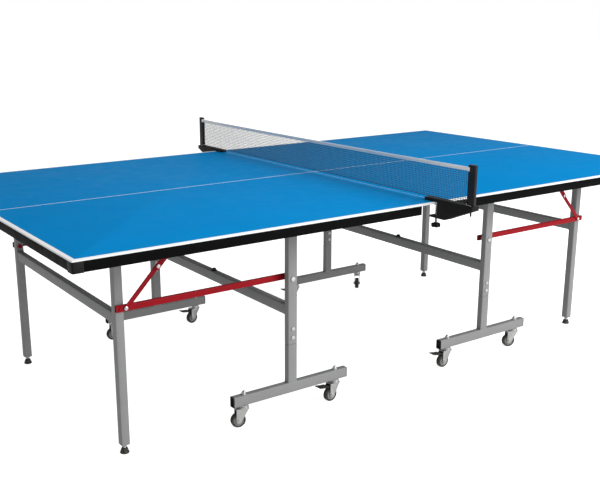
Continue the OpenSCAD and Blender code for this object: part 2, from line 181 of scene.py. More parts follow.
def pick_faces(test):
    """Selects the faces whose middle and normal pass a test."""
    bpy.ops.mesh.select_mode(type="FACE")
    bpy.ops.mesh.select_all(action="DESELECT")
    mesh = bpy.context.edit_object.data
    shape = bmesh.from_edit_mesh(mesh)
    for face in shape.faces:
        face.select_set(test(face.calc_center_median(), face.normal))
    bmesh.update_edit_mesh(mesh)


def pick_edges(test):
    """Selects the edges whose middle and direction pass a test."""
    bpy.ops.mesh.select_mode(type="EDGE")
    bpy.ops.mesh.select_all(action="DESELECT")
    mesh = bpy.context.edit_object.data
    shape = bmesh.from_edit_mesh(mesh)
    for edge in shape.edges:
        start, end = (vert.co for vert in edge.verts)
        if test((start + end) / 2, (end - start).normalized()):
            edge.select_set(True)
    bmesh.update_edit_mesh(mesh)


def round_edges(piece, along, radius, segments=3, where=lambda middle: True):
    """Rounds the edges that run along one axis."""
    edit(piece)
    pick_edges(lambda middle, way: abs(way[along]) > 0.99 and where(middle))
    bpy.ops.mesh.bevel(offset=radius, segments=segments, affect="EDGES", clamp_overlap=True)
    done()


def sink_face(piece, along, end, margin, depth):
    """Insets the end face on one side of a piece and pushes it in."""
    limit = max(vert.co[along] * end for vert in piece.data.vertices)
    push = Vector((0, 0, 0))
    push[along] = -end * depth
    edit(piece)
    pick_faces(lambda middle, normal: normal[along] * end > 0.99 and middle[along] * end > limit - 1e-5)
    bpy.ops.mesh.inset(thickness=margin, depth=0)
    bpy.ops.mesh.extrude_region_move(TRANSFORM_OT_translate={"value": push})
    done()


def break_edges(piece, width, segments=2, angle=35):
    """Takes the sharpness off every hard edge, and shades the rounds smooth."""
    only(piece)
    bevel = piece.modifiers.new("edge", "BEVEL")
    bevel.width = width
    bevel.segments = segments
    bevel.limit_method = "ANGLE"
    bevel.angle_limit = math.radians(angle)
    bpy.ops.object.modifier_apply(modifier=bevel.name)
    bpy.ops.object.shade_smooth_by_angle(angle=math.radians(40))


def tube(name, low, high, along, corner, open_ends=(), depth=0.03):
    """A square tube with rounded corners, hollow at its open ends."""
    piece = block(name, low, high)
    round_edges(piece, along, corner)
    for end in open_ends:
        sink_face(piece, along, end, WALL, depth)
    only(piece)
    bpy.ops.object.shade_smooth_by_angle(angle=math.radians(40))
    return piece


def turned(name, outline, sides=32):
    """A round piece about the Z axis, drawn up ring by ring along (radius, height)."""
    bpy.ops.object.select_all(action="DESELECT")
    radius, height = outline[0]
    foot = (0, 0, height)
    bpy.ops.mesh.primitive_circle_add(vertices=sides, radius=radius, fill_type="NGON", location=foot)
    piece = settle(bpy.context.object, name)
    bpy.ops.object.mode_set(mode="EDIT")
    bpy.ops.mesh.select_mode(type="FACE")
    bpy.ops.mesh.select_all(action="SELECT")
    for next_radius, next_height in outline[1:]:
        rise = (0, 0, next_height - height)
        scale = next_radius / radius
        bpy.ops.mesh.extrude_region_move(TRANSFORM_OT_translate={"value": rise})
        bpy.ops.transform.resize(value=(scale, scale, 1), center_override=(0, 0, next_height))
        radius, height = next_radius, next_height
    bpy.ops.mesh.select_all(action="SELECT")
    bpy.ops.mesh.normals_make_consistent(inside=False)
    done()
    bpy.ops.object.shade_smooth_by_angle(angle=math.radians(40))
    return piece


def along_y(x, y, z, way=1):
    """Turns a piece drawn about Z so that its axis runs along Y, and puts its foot at a place."""
    return Matrix.Translation((x, y, z)) @ Matrix.Rotation(-way * math.pi / 2, 4, "X")


def joined(name, parts):
    """Joins parts into one piece."""
    bpy.ops.object.select_all(action="DESELECT")
    for part in parts:
        part.select_set(True)
    bpy.context.view_layer.objects.active = parts[0]
    bpy.ops.object.join()
    parts[0].name = name
    parts[0].data.name = name
    return parts[0]


def twin(piece, name, flip_x=False, flip_y=False):
    """A copy with its own mesh, mirrored to another half or side."""
    copy = piece.copy()
    copy.data = piece.data.copy()
    copy.name = name
    copy.data.name = name
    bpy.context.scene.collection.objects.link(copy)
    copy.data.transform(Matrix.Diagonal((-1 if flip_x else 1, -1 if flip_y else 1, 1, 1)))
    if flip_x != flip_y:
        copy.data.flip_normals()
    return copy


def both_sides(piece):
    """The piece drawn on the back side, joined with its mirror image on the front side."""
    return joined(piece.name, [piece, twin(piece, piece.name + "_front", flip_y=True)])


def refined(node, name, edge):
    """A copy of a plain frame part with its triangles merged into faces and its edges rounded."""
    source = frame["nodes"][node]
    copy = bpy.data.objects.new(name, source.data.copy())
    copy.data.name = name
    bpy.context.scene.collection.objects.link(copy)
    edit(copy)
    bpy.ops.mesh.select_all(action="SELECT")
    bpy.ops.mesh.customdata_custom_splitnormals_clear()
    bpy.ops.mesh.remove_doubles(threshold=1e-6)
    bpy.ops.mesh.dissolve_limited(angle_limit=math.radians(0.5))
    done()
    break_edges(copy, edge)
    return copy


# ---------- handing a finished piece over ----------


def hand_over(piece, body, slot, material, *nodes):
    """Gives a piece its finish, its body and the frame parts that it stands for."""
    piece.data.materials.clear()
    piece.data.materials.append(material)
    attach(piece, body)
    if nodes:
        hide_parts(*nodes)


def for_each_half(piece, part, body, slot, material, node=None):
    """The piece drawn for the far half, and its mirror image for the near half."""
    near = twin(piece, f"near_{part}", flip_x=True)
    piece.name = f"far_{part}"
    piece.data.name = piece.name
    for half, half_piece in (("near", near), ("far", piece)):
        nodes = [f"{half}_{node}"] if node else []
        hand_over(half_piece, f"{half}_{body}", slot, material, *nodes)


# ---------- finishes: shared effects ----------

FLOAT = "NodeSocketFloat"
COLOUR = "NodeSocketColor"


def put(tree, kind, inputs=None, **settings):
    """A node with its settings, and its inputs given as values or as other nodes' outputs."""
    node = tree.nodes.new(kind)
    for key, value in settings.items():
        setattr(node, key, value)
    for key, value in (inputs or {}).items():
        if isinstance(value, bpy.types.NodeSocket):
            tree.links.new(value, node.inputs[key])
        else:
            node.inputs[key].default_value = value
    return node


def sums(tree, operation, first, second=0.0, clamp=False):
    """One sum of two values."""
    return put(tree, "ShaderNodeMath", {0: first, 1: second}, operation=operation, use_clamp=clamp).outputs[0]


def mixed(tree, factor, first, second):
    """One colour laid over another by a mask."""
    node = put(tree, "ShaderNodeMix", {0: factor, 6: first, 7: second}, data_type="RGBA")
    return node.outputs[2]


def spread(tree, value, low, high, new_low, new_high):
    """A value stretched from one range to another."""
    ends = {"Value": value, "From Min": low, "From Max": high, "To Min": new_low, "To Max": new_high}
    return put(tree, "ShaderNodeMapRange", ends).outputs["Result"]


def object_place(tree):
    """The point's place on the piece."""
    return put(tree, "ShaderNodeTexCoord").outputs["Object"]


def noise(tree, place, scale, detail=2.0, roughness=0.5):
    """Soft noise at a scale in cycles per metre."""
    inputs = {"Vector": place, "Scale": scale, "Detail": detail, "Roughness": roughness}
    return put(tree, "ShaderNodeTexNoise", inputs).outputs["Fac"]


def stretched(tree, place, scale):
    """The place stretched differently along each axis."""
    return put(tree, "ShaderNodeMapping", {"Vector": place, "Scale": scale}).outputs["Vector"]


def start_group(name, inputs, outputs):
    """A node group with named inputs and outputs."""
    group = bpy.data.node_groups.new(name, "ShaderNodeTree")
    for label, (kind, value) in inputs.items():
        socket = group.interface.new_socket(name=label, in_out="INPUT", socket_type=kind)
        socket.default_value = value
    for label, kind in outputs.items():
        group.interface.new_socket(name=label, in_out="OUTPUT", socket_type=kind)
    given = group.nodes.new("NodeGroupInput").outputs
    result = group.nodes.new("NodeGroupOutput").inputs
    return group, given, result


def sprayed_coat():
    """Baked powder coat: orange peel, faint clouding and a slightly uneven sheen."""
    inputs = {"Colour": (COLOUR, (0.5, 0.5, 0.5, 1)), "Sheen": (FLOAT, 0.4), "Clouding": (FLOAT, 0.1)}
    outputs = {"Colour": COLOUR, "Roughness": FLOAT, "Height": FLOAT}
    group, given, result = start_group("sprayed coat", inputs, outputs)
    place = object_place(group)
    clouds = noise(group, place, 7.0, 3.0)
    flake = noise(group, place, 1900.0, 1.0)
    shift = sums(group, "MULTIPLY", sums(group, "SUBTRACT", clouds, 0.5), given["Clouding"])
    glint = sums(group, "MULTIPLY", sums(group, "SUBTRACT", flake, 0.5), given["Clouding"])
    level = sums(group, "ADD", sums(group, "ADD", 1.0, sums(group, "MULTIPLY", shift, 2.0)), glint)
    tinted = put(group, "ShaderNodeVectorMath", {0: given["Colour"], 1: level}, operation="MULTIPLY")
    group.links.new(tinted.outputs[0], result["Colour"])
    uneven = spread(group, noise(group, place, 23.0, 4.0), 0.3, 0.7, -0.05, 0.06)
    group.links.new(sums(group, "ADD", given["Sheen"], uneven, clamp=True), result["Roughness"])
    peel = noise(group, place, 420.0, 2.0)
    group.links.new(sums(group, "ADD", peel, sums(group, "MULTIPLY", flake, 0.25)), result["Height"])
    return group


def handling_rubs():
    """Where hands, shoes and straps have rubbed: short streaks and dull patches."""
    inputs = {"Amount": (FLOAT, 0.5), "Size": (FLOAT, 30.0)}
    group, given, result = start_group("handling rubs", inputs, {"Mask": FLOAT})
    place = object_place(group)
    patches = spread(group, noise(group, place, given["Size"], 5.0, 0.65), 0.56, 0.74, 0.0, 1.0)
    streaks = noise(group, stretched(group, place, (1.0, 1.0, 0.12)), 330.0, 3.0, 0.6)
    lines = spread(group, streaks, 0.6, 0.72, 0.0, 1.0)
    faint = sums(group, "MULTIPLY", patches, 0.5)
    both = sums(group, "MAXIMUM", faint, sums(group, "MULTIPLY", patches, lines))
    group.links.new(sums(group, "MULTIPLY", both, given["Amount"], clamp=True), result["Mask"])
    return group


def floor_dust():
    """Dust that thickens towards the floor."""
    inputs = {"Reach": (FLOAT, 0.3), "Amount": (FLOAT, 0.5)}
    group, given, result = start_group("floor dust", inputs, {"Mask": FLOAT})
    place = object_place(group)
    height = put(group, "ShaderNodeSeparateXYZ", {"Vector": place}).outputs["Z"]
    low = sums(group, "SUBTRACT", 1.0, sums(group, "DIVIDE", height, given["Reach"]), clamp=True)
    specks = spread(group, noise(group, place, 160.0, 6.0, 0.7), 0.35, 0.75, 0.1, 1.0)
    settled = sums(group, "MULTIPLY", sums(group, "MULTIPLY", low, low), specks)
    group.links.new(sums(group, "MULTIPLY", settled, given["Amount"], clamp=True), result["Mask"])
    return group


def moulded_grain():
    """Fine spark-eroded grain of moulded plastic and rubber, with a slightly uneven gloss."""
    inputs = {"Size": (FLOAT, 1400.0), "Gloss": (FLOAT, 0.5)}
    group, given, result = start_group("moulded grain", inputs, {"Roughness": FLOAT, "Height": FLOAT})
    place = object_place(group)
    pits = put(group, "ShaderNodeTexVoronoi", {"Vector": place, "Scale": given["Size"]}).outputs["Distance"]
    flow = noise(group, place, 35.0, 4.0)
    uneven = spread(group, flow, 0.3, 0.7, -0.07, 0.07)
    group.links.new(sums(group, "ADD", given["Gloss"], uneven), result["Roughness"])
    group.links.new(sums(group, "ADD", pits, sums(group, "MULTIPLY", flow, 0.6)), result["Height"])
    return group


SPRAYED = sprayed_coat()
RUBS = handling_rubs()
DUST = floor_dust()
GRAIN = moulded_grain()


def effect(tree, group, **inputs):
    """Places a shared effect in a material with its own values."""
    node = tree.nodes.new("ShaderNodeGroup")
    node.node_tree = group
    for key, value in inputs.items():
        if isinstance(value, bpy.types.NodeSocket):
            tree.links.new(value, node.inputs[key])
        else:
            node.inputs[key].default_value = value
    return node.outputs


# ---------- finishes of this table ----------


def start_material(name, **constants):
    """A material with its shader's constants set."""
    material = bpy.data.materials.new(name)
    material.use_nodes = True
    shader = material.node_tree.nodes["Principled BSDF"]
    for key, value in constants.items():
        shader.inputs[key.replace("_", " ")].default_value = value
    return material, material.node_tree, shader


def connect(tree, shader, colour, roughness, height, depth):
    """Feeds a surface's colour, roughness and relief to its shader."""
    tree.links.new(colour, shader.inputs["Base Color"])
    tree.links.new(roughness, shader.inputs["Roughness"])
    relief = put(tree, "ShaderNodeBump", {"Height": height, "Distance": depth})
    tree.links.new(relief.outputs["Normal"], shader.inputs["Normal"])


def coated_steel(name, colour, sheen, clouding, rub_colour, rub, dust, depth, **constants):
    """Powder coated steel with rubs and floor dust."""
    material, tree, shader = start_material(name, **constants)
    coat = effect(tree, SPRAYED, Colour=colour, Sheen=sheen, Clouding=clouding)
    worn = effect(tree, RUBS, Amount=rub)["Mask"]
    dusty = effect(tree, DUST, Amount=dust)["Mask"]
    shade = mixed(tree, worn, coat["Colour"], rub_colour)
    shade = mixed(tree, dusty, shade, (0.42, 0.40, 0.37, 1))
    dull = sums(tree, "ADD", coat["Roughness"], sums(tree, "MULTIPLY", dusty, 0.4), clamp=True)
    connect(tree, shader, shade, dull, coat["Height"], depth)
    return material


def moulded(name, colour, gloss, size, dust, depth, **constants):
    """Moulded plastic or rubber."""
    material, tree, shader = start_material(name, **constants)
    grain = effect(tree, GRAIN, Size=size, Gloss=gloss)
    worn = effect(tree, RUBS, Amount=0.25, Size=60.0)["Mask"]
    dusty = effect(tree, DUST, Amount=dust)["Mask"]
    pale = [min(1.0, 0.05 + 1.6 * part) for part in colour[:3]] + [1]
    shade = mixed(tree, worn, colour, pale)
    shade = mixed(tree, dusty, shade, (0.36, 0.34, 0.31, 1))
    dull = sums(tree, "ADD", grain["Roughness"], sums(tree, "MULTIPLY", dusty, 0.3), clamp=True)
    connect(tree, shader, shade, dull, grain["Height"], depth)
    return material


def table_blue():
    """Blue playing coat with its white lines, white edge and grey underside."""
    border = 0.015
    centre_line = 0.004
    material, tree, shader = start_material("table blue", Specular_IOR_Level=0.01)
    place = object_place(tree)
    axes = put(tree, "ShaderNodeSeparateXYZ", {"Vector": place}).outputs
    along = sums(tree, "ABSOLUTE", axes["X"])
    across = sums(tree, "ABSOLUTE", axes["Y"])
    side_line = sums(tree, "GREATER_THAN", across, half_w - border)
    end_line = sums(tree, "GREATER_THAN", along, half_l - border)
    middle_line = sums(tree, "LESS_THAN", across, centre_line / 2)
    lines = sums(tree, "MAXIMUM", sums(tree, "MAXIMUM", side_line, end_line), middle_line)
    edge = sums(tree, "LESS_THAN", axes["Z"], table_h - 0.0006)
    white = sums(tree, "MAXIMUM", lines, edge)
    under = sums(tree, "LESS_THAN", axes["Z"], board_z + 0.0004)
    coat = effect(tree, SPRAYED, Colour=(0.0, 0.235, 0.58, 1), Sheen=0.46, Clouding=0.05)
    smudge = spread(tree, noise(tree, place, 2.3, 6.0, 0.62), 0.45, 0.8, 0.0, 0.10)
    marks = spread(tree, noise(tree, place, 19.0, 2.0), 0.70, 0.78, 0.0, 0.06)
    played = sums(tree, "ADD", smudge, marks)
    blue = mixed(tree, played, coat["Colour"], (0.004, 0.25, 0.585, 1))
    soiled = mixed(tree, spread(tree, noise(tree, place, 31.0, 4.0), 0.4, 0.8, 0.0, 0.25),
                   (0.92, 0.93, 0.93, 1), (0.78, 0.78, 0.76, 1))
    top = mixed(tree, white, blue, soiled)
    shade = mixed(tree, under, top, (0.20, 0.21, 0.22, 1))
    dull = sums(tree, "ADD", coat["Roughness"], sums(tree, "MULTIPLY", played, 0.8))
    peel = sums(tree, "MULTIPLY", coat["Height"], 0.3)
    raised = sums(tree, "ADD", peel, sums(tree, "MULTIPLY", lines, 0.8))
    connect(tree, shader, shade, dull, raised, 0.00015)
    return material


def zinc_plate():
    """Bright zinc plate: passivated clouds, faint drawing lines, dulled near the floor."""
    material, tree, shader = start_material("zinc plate", Metallic=1.0)
    place = object_place(tree)
    clouds = noise(tree, place, 60.0, 4.0)
    shade = mixed(tree, clouds, (0.62, 0.63, 0.64, 1), (0.74, 0.73, 0.70, 1))
    dusty = effect(tree, DUST, Amount=0.5, Reach=0.15)["Mask"]
    shade = mixed(tree, dusty, shade, (0.30, 0.28, 0.25, 1))
    lines = noise(tree, stretched(tree, place, (1.0, 1.0, 0.08)), 1500.0, 2.0)
    dull = sums(tree, "ADD", spread(tree, clouds, 0.3, 0.7, 0.26, 0.42), sums(tree, "MULTIPLY", dusty, 0.3))
    connect(tree, shader, shade, dull, sums(tree, "ADD", lines, clouds), 0.00005)
    return material


def net_yarn():
    """Dark knotted yarn with the twist of its plies."""
    material, tree, shader = start_material("net yarn", Sheen_Weight=0.3)
    place = object_place(tree)
    twist = put(tree, "ShaderNodeTexWave", {"Vector": place, "Scale": 420.0, "Distortion": 1.5},
                bands_direction="DIAGONAL").outputs["Fac"]
    fade = noise(tree, place, 14.0, 3.0)
    shade = mixed(tree, fade, (0.010, 0.014, 0.020, 1), (0.030, 0.036, 0.046, 1))
    dull = spread(tree, twist, 0.0, 1.0, 0.7, 0.9)
    connect(tree, shader, shade, dull, twist, 0.0002)
    return material


def woven_tape():
    """White cotton tape in a plain weave, with a line of stitches above its lower edge."""
    thread = 0.0008
    stitch_up = 0.0035
    stitch_pitch = 0.004
    material, tree, shader = start_material("woven tape", Sheen_Weight=0.6)
    place = object_place(tree)
    axes = put(tree, "ShaderNodeSeparateXYZ", {"Vector": place}).outputs
    warp = sums(tree, "SINE", sums(tree, "MULTIPLY", axes["Y"], math.tau / thread / 2))
    weft = sums(tree, "SINE", sums(tree, "MULTIPLY", axes["Z"], math.tau / thread / 2))
    weave = sums(tree, "MULTIPLY", warp, weft)
    line_z = net_high.z - TAPE_H + stitch_up
    off_line = sums(tree, "ABSOLUTE", sums(tree, "SUBTRACT", axes["Z"], line_z))
    on_line = sums(tree, "LESS_THAN", off_line, 0.0006)
    beat = sums(tree, "SINE", sums(tree, "MULTIPLY", axes["Y"], math.tau / stitch_pitch))
    along = sums(tree, "GREATER_THAN", beat, -0.3)
    stitches = sums(tree, "MULTIPLY", on_line, along)
    grime = spread(tree, noise(tree, place, 9.0, 5.0), 0.4, 0.75, 0.0, 0.22)
    cloth = mixed(tree, grime, (0.97, 0.965, 0.95, 1), (0.80, 0.77, 0.74, 1))
    shade = mixed(tree, stitches, cloth, (0.55, 0.54, 0.53, 1))
    dull = spread(tree, weave, -1.0, 1.0, 0.75, 0.92)
    relief = sums(tree, "SUBTRACT", weave, sums(tree, "MULTIPLY", stitches, 2.0))
    connect(tree, shader, shade, dull, relief, 0.00012)
    return material


def tie_cord():
    """White braided cord, its colour painted darker in the braid's grooves as shade."""
    material, tree, shader = start_material("tie cord", Sheen_Weight=0.3)
    place = object_place(tree)
    waves = put(tree, "ShaderNodeTexWave", {"Vector": place, "Scale": 300.0}, bands_direction="DIAGONAL")
    braid_and_groove_shade = waves.outputs["Fac"]
    # Painted shade: the colour follows the braid's relief, darker in its grooves than on its crests
    shade = mixed(tree, braid_and_groove_shade, (0.62, 0.61, 0.58, 1), (0.84, 0.83, 0.80, 1))
    connect(tree, shader, shade, spread(tree, braid_and_groove_shade, 0.0, 1.0, 0.7, 0.9), braid_and_groove_shade, 0.0003)
    return material


TABLE_BLUE = table_blue()
BLACK = (0.0035, 0.0035, 0.0040, 1)
BLACK_RUB = (0.014, 0.014, 0.015, 1)
SILVER = (0.280, 0.282, 0.283, 1)
SILVER_RUB = (0.225, 0.227, 0.228, 1)
RED = (0.34, 0.006, 0.013, 1)
RED_RUB = (0.22, 0.008, 0.013, 1)
BLACK_COAT = coated_steel("black coat", BLACK, sheen=0.42, clouding=0.25, rub_colour=BLACK_RUB, rub=0.5,
                          dust=0.0, depth=0.00006, Specular_IOR_Level=0.03)
SILVER_COAT = coated_steel("silver coat", SILVER, sheen=0.42, clouding=0.10, rub_colour=SILVER_RUB, rub=0.35,
                           dust=0.25, depth=0.00005, Specular_IOR_Level=0.3)
RED_COAT = coated_steel("red coat", RED, sheen=0.36, clouding=0.12, rub_colour=RED_RUB, rub=0.4,
                        dust=0.1, depth=0.00006, Specular_IOR_Level=0.1)
ZINC = zinc_plate()
BLACK_PLASTIC = moulded("black plastic", (0.005, 0.005, 0.0055, 1), gloss=0.48, size=1300.0, dust=0.35,
                        depth=0.00008, Specular_IOR_Level=0.2)
POST_BLACK = moulded("post black", (0.008, 0.007, 0.008, 1), gloss=0.32, size=1700.0, dust=0.0,
                     depth=0.00005, Specular_IOR_Level=0.35)
RUBBER = moulded("buffer rubber", (0.010, 0.010, 0.010, 1), gloss=0.75, size=900.0, dust=0.2, depth=0.0001)
TYRE = moulded("tyre rubber", (0.007, 0.007, 0.0075, 1), gloss=0.62, size=1000.0, dust=0.4, depth=0.0001,
               Specular_IOR_Level=0.3)
HUB_GREY = moulded("hub grey", (0.33, 0.33, 0.34, 1), gloss=0.45, size=1100.0, dust=0.3, depth=0.00006)
NET_YARN = net_yarn()
WOVEN_TAPE = woven_tape()
TIE_CORD = tie_cord()

# ---------- table top ----------


def make_boards():
    """The two playing boards."""
    board = block("board", (board_low.x, -half_w, board_z), (half_l, half_w, table_h))
    round_edges(board, Z, 0.004, 4, lambda middle: middle.x > half_l / 2)
    break_edges(board, 0.0005)
    for_each_half(board, "playing_board", "top", "board_blue", TABLE_BLUE, "board")


def hinge_plate(name, x, half_width, y_in, y_out):
    """A plate that hangs from a cross rail, rounded under its pivot."""
    plate = block(name, (x - half_width, y_in, pivot_z - half_width), (x + half_width, y_out, rail_z))
    round_edges(plate, Y, half_width * 0.98, 8, lambda middle: middle.z < pivot_z)
    break_edges(plate, 0.0005)
    return plate


def weld(name, low, high, along, end):
    """A weld bead round the foot of a tube, bevelled away from the tube's face that it sits on."""
    bead = block(name, low, high)
    limit = max(vert.co[along] * end for vert in bead.data.vertices)
    edit(bead)
    pick_edges(lambda middle, way: abs(way[along]) < 0.5 and middle[along] * end > limit - 1e-5)
    bpy.ops.mesh.bevel(offset=0.0014, segments=2, affect="EDGES")
    done()
    round_edges(bead, along, 0.002, 2)
    return bead


def make_rails():
    """The welded steel frame under each board."""
    parts = []
    inner_y = side_y - RAIL_W
    half = CROSS_W / 2
    high = (end_x, side_y, board_z)
    parts.append(tube("side rail", (rail_start, inner_y, rail_z), high, X, 0.0022, (-1,), 0.05))
    high = (leg_x - half, LONG_OUT, board_z)
    parts.append(tube("long rail", (fold_x + half, LONG_IN, rail_z), high, X, 0.002))
    for x in (fold_x, leg_x):
        low = (x - half - 0.0015, inner_y - 0.002, rail_z - 0.0004)
        parts.append(weld("rail weld", low, (x + half + 0.0015, inner_y, board_z - 0.001), Y, -1))
    sides = both_sides(joined("side rails", parts))
    crossing = [sides]
    for x in (rail_start, end_x - RAIL_W):
        crossing.append(tube("end rail", (x, -inner_y, rail_z), (x + RAIL_W, inner_y, board_z), Y, 0.0022))
    for x in (fold_x, leg_x):
        high = (x + half, inner_y, board_z)
        crossing.append(tube("cross rail", (x - half, -inner_y, rail_z), high, Y, 0.0025))
    rails = joined("rails", crossing)
    for_each_half(rails, "rails", "top", "frame_black", BLACK_COAT, "top_frame")


def make_hinge_plates():
    """The plates and ears that carry the fold and leg pivots, and the studs of the folding stays."""
    stud_outline = [(0.0075, 0), (0.0085, 0.0008), (0.0085, 0.0023), (0.005, 0.0025)]
    stud_outline += [(0.005, 0.0062), (0.008, 0.0064), (0.008, 0.010)]
    stud = turned("stay stud", stud_outline, 24)
    stud.data.transform(along_y(stay_x, LONG_IN - 0.010, stay_z))
    plates = [
        hinge_plate("fold plate", fold_x, 0.018, bracket_in, bracket_in + 0.004),
        hinge_plate("inner ear", leg_x, 0.014, leg_in - 0.005, leg_in - 0.001),
        hinge_plate("outer ear", leg_x, 0.014, leg_high.y + 0.001, leg_high.y + 0.005),
        stud,
    ]
    hinges = both_sides(joined("hinges", plates))
    for_each_half(hinges, "hinges", "top", "frame_black", BLACK_COAT, "hinge_plates")


def make_frame_caps():
    """Corner guards on the two outer corners, and plugs in the side rails' open ends."""
    guard = 0.032
    cap = 0.0025
    low = (end_x - guard, side_y - guard, rail_z - 0.0002)
    corner = block("guard", low, (end_x + cap, side_y + cap, board_z - 0.0003))
    edit(corner)
    pick_faces(lambda middle, normal: normal.x < -0.9 or normal.y < -0.9 or abs(normal.z) > 0.9)
    bpy.ops.mesh.delete(type="FACE")
    pick_edges(lambda middle, way: abs(way.z) > 0.9 and middle.x > end_x and middle.y > side_y)
    bpy.ops.mesh.bevel(offset=0.007, segments=5, affect="EDGES")
    done()
    only(corner)
    shell = corner.modifiers.new("shell", "SOLIDIFY")
    shell.thickness = cap
    shell.offset = -1
    bpy.ops.object.modifier_apply(modifier=shell.name)
    break_edges(corner, 0.0006)
    plug = block("plug", (rail_start - cap, side_y - RAIL_W, rail_z), (rail_start, side_y, board_z))
    round_edges(plug, X, 0.0022)
    break_edges(plug, 0.0007)
    caps = both_sides(joined("caps", [corner, plug]))
    for_each_half(caps, "corner_guards", "top", "black_plastic", BLACK_PLASTIC, "frame_caps")


# ---------- legs ----------


def make_legs():
    """Two square legs and their crossbar, welded into one frame."""
    half = LEG_SQ / 2
    bar = 0.0125
    bar_low, bar_high = LEG_BAR
    high = (leg_x + half, leg_high.y, leg_high.z)
    leg = tube("leg", (leg_x - half, leg_in, leg_low.z), high, Z, 0.0035, (-1,), 0.045)
    lip = 0.0018
    bead = weld("bar weld", (leg_x - bar - lip, leg_in - 0.0022, bar_low - lip),
                (leg_x + bar + lip, leg_in + 0.0005, bar_high + lip), Y, -1)
    legs = both_sides(joined("legs", [leg, bead]))
    crossbar = tube("crossbar", (leg_x - bar, -leg_in, bar_low), (leg_x + bar, leg_in, bar_high), Y, 0.0035)
    leg_frame = joined("leg frame", [legs, crossbar])
    for_each_half(leg_frame, "legs", "legs", "silver_paint", SILVER_COAT, "leg_frame")
    high = (leg_x + half, leg_high.y, leg_high.z + 0.002)
    plug = block("leg plug", (leg_x - half, leg_in, leg_high.z), high)
    round_edges(plug, Z, 0.0035)
    break_edges(plug, 0.0007)
    for_each_half(both_sides(plug), "leg_plugs", "legs", "black_plastic", BLACK_PLASTIC)


def thread(radius, depth, pitch, start, end):
    """The outline of a screw thread, as rings."""
    count = int((end - start) / pitch)
    outline = []
    for step in range(count):
        outline.append((radius, start + step * pitch))
        outline.append((radius - depth, start + (step + 0.5) * pitch))
    return outline


def make_feet():
    """Levelling feet: a moulded pad on a threaded stem with a lock nut."""
    pad_outline = [(0.0140, 0), (0.0155, 0.0012), (0.0155, 0.0042), (0.0147, 0.0054), (0.0125, 0.0120)]
    pad_outline += [(0.0108, 0.0170), (0.0100, 0.0185), (0.0092, 0.0190), (0.0080, 0.0195)]
    pad = turned("pad", pad_outline, 40)
    stem = turned("stem", [(0.0046, 0.018)] + thread(0.005, 0.0006, 0.0015, 0.0195, leg_low.z + 0.006), 24)
    nut = turned("lock nut", [(0.008, 0.0248), (0.0092, 0.0256), (0.0092, 0.0302), (0.008, 0.031)], 6)
    shank = joined("foot stem", [stem, nut])
    for half, flip_x in (("near", True), ("far", False)):
        for side, flip_y in (("front", True), ("back", False)):
            body = f"{half}_{side}_foot"
            leg_y = leg_in + LEG_SQ / 2
            place = Matrix.Translation((-leg_x if flip_x else leg_x, -leg_y if flip_y else leg_y, 0))
            foot_pad = twin(pad, f"{half}_{side}_foot_pad")
            foot_stem = twin(shank, f"{half}_{side}_foot_stem")
            foot_pad.data.transform(place)
            foot_stem.data.transform(place)
            hand_over(foot_pad, body, "black_plastic", BLACK_PLASTIC, body)
            hand_over(foot_stem, body, "zinc", ZINC)
    bpy.data.objects.remove(pad)
    bpy.data.objects.remove(shank)


# ---------- fold linkage ----------


def make_links():
    """The red bars between the trolley and the legs, and the rivets at the feet and knees of the stays."""
    y_in = leg_high.y + 0.001
    bar = tube("bar", (fold_x - 0.014, y_in, link_z - 0.011), (leg_x + 0.016, y_in + LINK_T, link_z + 0.011),
               X, 0.0028, (-1, 1), 0.06)
    for_each_half(both_sides(bar), "links", "links", "red_paint", RED_COAT, "link_bars")
    shank = [(0.004, 0), (0.004, 0.0048)]
    head = [(0.007, 0.005), (0.007, 0.0062), (0.0055, 0.0074), (0.002, 0.0078)]
    rivet = turned("rivet", shank + head, 24)
    rivet.data.transform(along_y(stay_foot_x, y_in + LINK_T - 0.0005, link_z))
    for_each_half(both_sides(rivet), "stay_foot_rivets", "links", "zinc", ZINC)
    foot_place = Vector((stay_foot_x, 0, link_z))
    stay_way = (Vector((stay_x, 0, stay_z)) - foot_place).normalized()
    knee_place = foot_place + STAY_LOW_L * stay_way
    knee_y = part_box("far_upper_stays")[1].y - 0.0022
    knee_outline = [(0.0060, 0), (0.0072, 0.0004), (0.0072, 0.0016), (0.0058, 0.0024), (0.002, 0.0026)]
    knee = turned("knee", knee_outline, 24)
    knee.data.transform(along_y(knee_place.x, knee_y, knee_place.z))
    for_each_half(both_sides(knee), "knee_rivets", "upper_stays", "zinc", ZINC)


def make_refined_parts():
    """Flat and turned parts whose plain shape is right: their edges are rounded and they get their finish."""
    for half in HALVES:
        for stays in (f"{half}_upper_stays", f"{half}_lower_stays"):
            hand_over(refined(stays, f"{stays}_flat", 0.0007), stays, "red_paint", RED_COAT, stays)
        pivots = refined(f"{half}_leg_bolts", f"{half}_leg_pivots", 0.0006)
        hand_over(pivots, f"{half}_legs", "red_paint", RED_COAT, f"{half}_leg_bolts")
        bolts = refined(f"{half}_trolley_bolts", f"{half}_trolley_fixings", 0.0006)
        hand_over(bolts, f"{half}_trolley", "zinc", ZINC, f"{half}_trolley_bolts")
        buffer = refined(f"{half}_fold_buffer", f"{half}_fold_stop", 0.0008)
        hand_over(buffer, f"{half}_trolley", "rubber", RUBBER, f"{half}_fold_buffer")
        for side in SIDES:
            for reach in REACHES:
                fork = f"{half}_{side}_{reach}_fork"
                bright_fork = refined(fork, f"{half}_{side}_{reach}_caster_fork", 0.0005)
                hand_over(bright_fork, fork, "zinc", ZINC, fork)
            pedal = f"{half}_{side}_pedal"
            brake = refined(pedal, f"{half}_{side}_brake_pedal", 0.001)
            hand_over(brake, pedal, "black_plastic", BLACK_PLASTIC, pedal)
    for side in SIDES:
        bracket = refined(f"{side}_net_bracket", f"{side}_net_clamp", 0.0012)
        hand_over(bracket, "near_top", "black_plastic", BLACK_PLASTIC, f"{side}_net_bracket")


# ---------- trolley ----------


